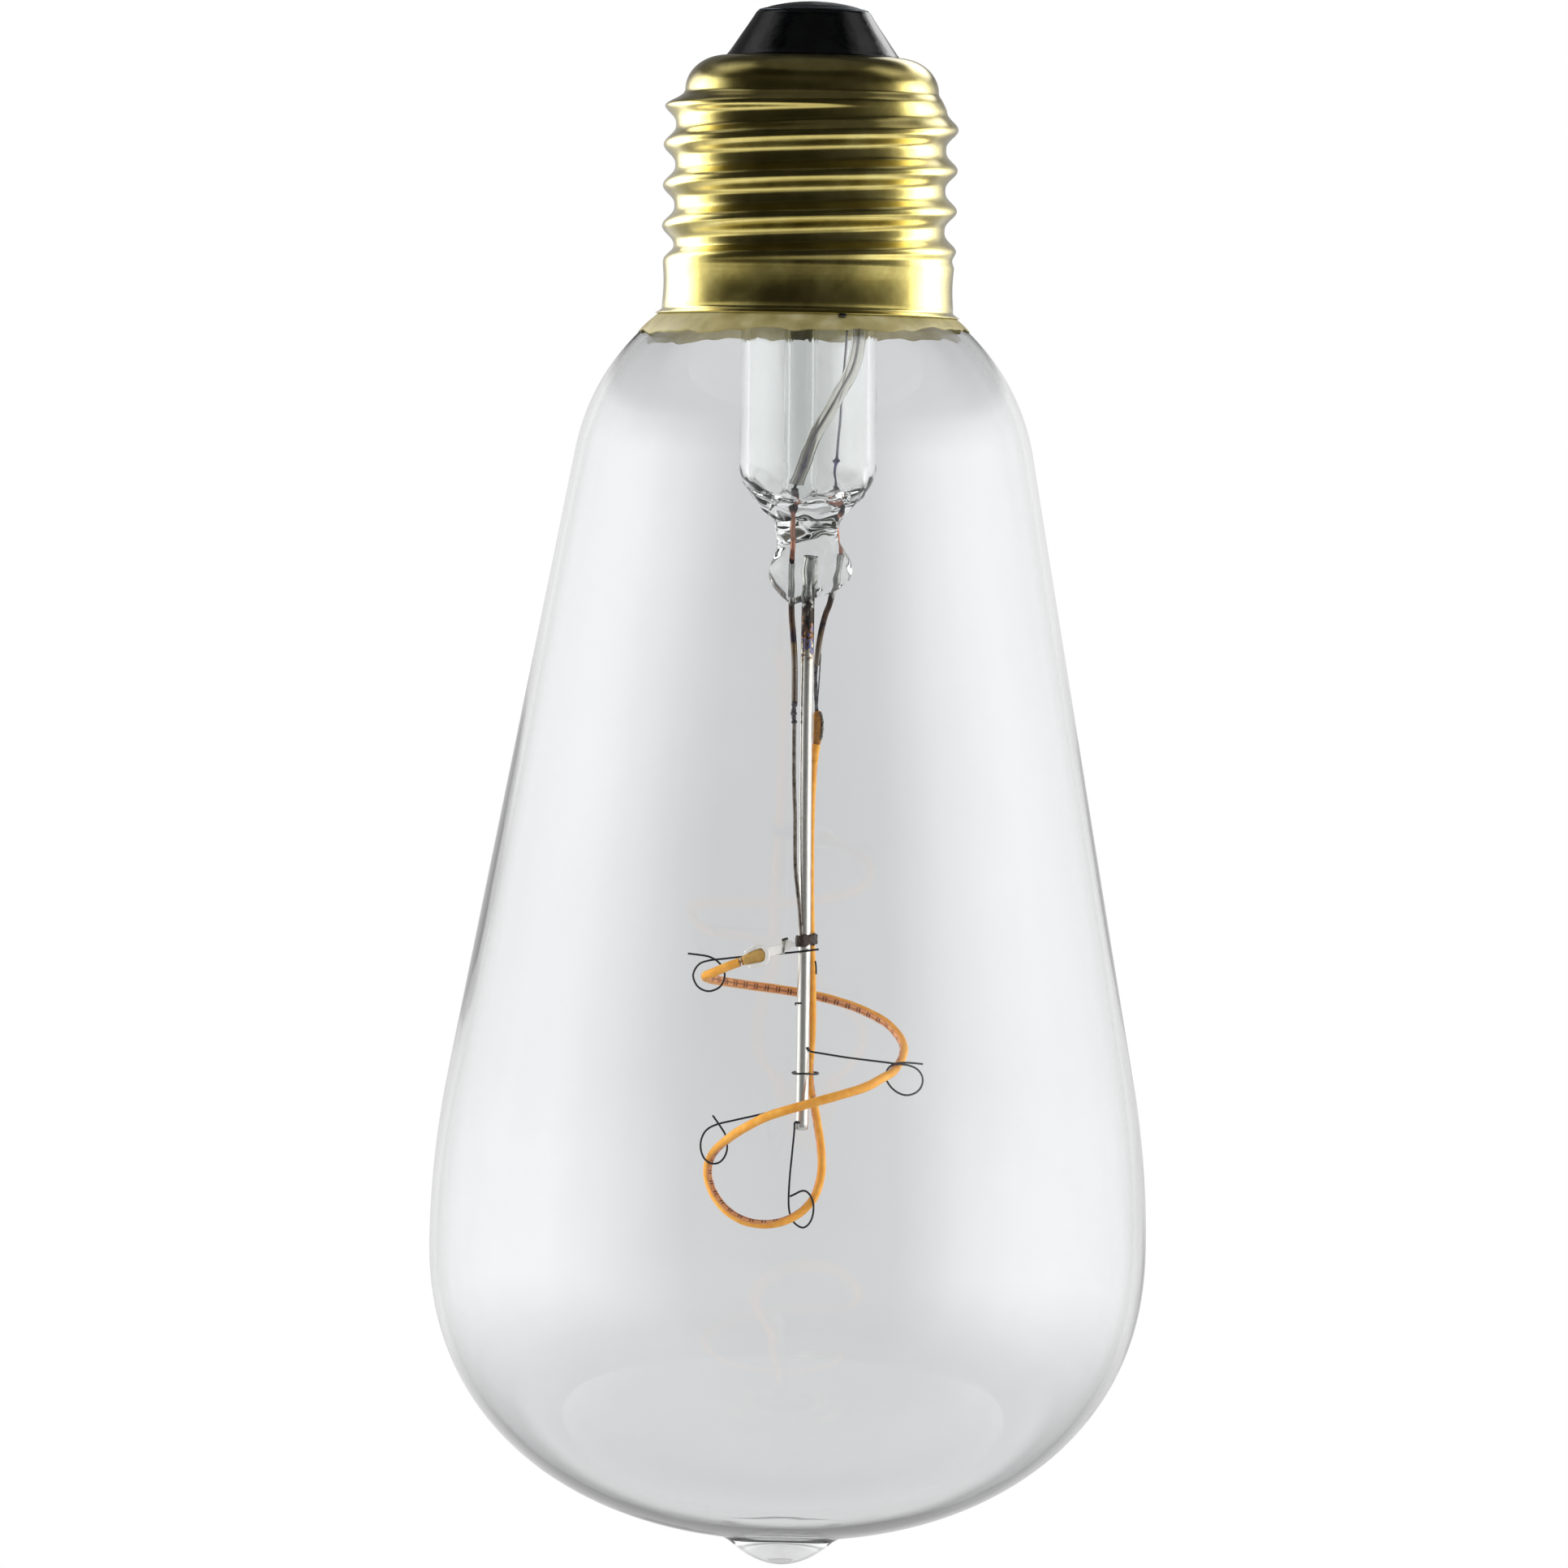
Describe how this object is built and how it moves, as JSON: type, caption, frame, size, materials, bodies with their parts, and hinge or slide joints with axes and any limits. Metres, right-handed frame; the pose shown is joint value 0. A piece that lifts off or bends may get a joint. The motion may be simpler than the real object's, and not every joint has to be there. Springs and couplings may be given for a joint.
{
  "type": "led filament bulb",
  "caption": "Clear glass filament bulb of tall Edison shape with a brass screw cap, a glass stem and one looped flexible LED filament held by wire hooks.",
  "frame": {"origin": "tip of the end contact, on the bulb's axis", "axes": "+Z along the axis, out of the cap and away from the glass; -Y towards the side seen in the picture"},
  "size_m": [0.064, 0.064, 0.1396],
  "materials": {
    "cap_brass": "rolled, lightly brushed",
    "cap_glass_black": "glossy black glass",
    "contact_steel": "blued steel",
    "solder": "dull solder",
    "weld": "dark weld",
    "cement": "matt tan cement",
    "board": "circuit board",
    "chip_body": "moulded",
    "capacitor_sleeve": "shrunk sleeve",
    "resistor_body": "lacquered",
    "tinned_wire": "tinned",
    "clear_glass": "clear blown glass",
    "stem_glass": "clear drawn glass",
    "pinch_glass": "pressed glass with a green tint",
    "lead_wire": "grey wire",
    "sleeve_film": "clear sleeve",
    "seal_copper": "copper clad",
    "burnt_wire": "heat darkened",
    "lower_wire": "drawn wire",
    "collar_dark": "dark wrap",
    "rod_nickel": "nickel plate, heat tinted near the glass",
    "filament_silicone": "orange silicone over chips",
    "filament_end": "dark amber moulding",
    "filament_end_light": "amber moulding",
    "tab_metal": "stamped tab",
    "clip_metal": "bright strip",
    "hook_wire": "blackened wire",
    "tie_wire": "grey wire"
  },
  "bodies": {
    "root": {"screw_shell": "cap_brass", "insulator": "cap_glass_black", "centre_contact": "contact_steel", "contact_solder": "solder", "rim_weld": "weld", "capping_cement": "cement", "driver_board": "board", "bridge_rectifier": "chip_body", "smoothing_capacitor": "capacitor_sleeve", "driver_chip": "chip_body", "fuse_resistor": "resistor_body", "contact_lead": "tinned_wire", "shell_lead": "tinned_wire", "glass_envelope": "clear_glass", "stem_flare": "stem_glass", "exhaust_tube": "stem_glass", "pinch_seal": "pinch_glass", "outer_lead_a": "lead_wire", "outer_lead_b": "lead_wire", "lead_sleeve": "sleeve_film", "seal_wire_a": "seal_copper", "seal_wire_b": "seal_copper", "inner_lead_a": "burnt_wire", "inner_lead_b": "burnt_wire", "lead_weld": "burnt_wire", "lower_lead_a": "lower_wire", "lead_collar": "collar_dark", "support_rod": "rod_nickel", "led_filament": "filament_silicone", "filament_end_upper": "filament_end", "filament_end_lower": "filament_end_light", "upper_tab": "tab_metal", "end_clip": "clip_metal", "clip_strap": "clip_metal", "hook_upper_left": "hook_wire", "hook_right": "hook_wire", "hook_lower_left": "hook_wire", "hook_bottom": "hook_wire", "tie_ring": "tie_wire"}
  },
  "joints": []
}
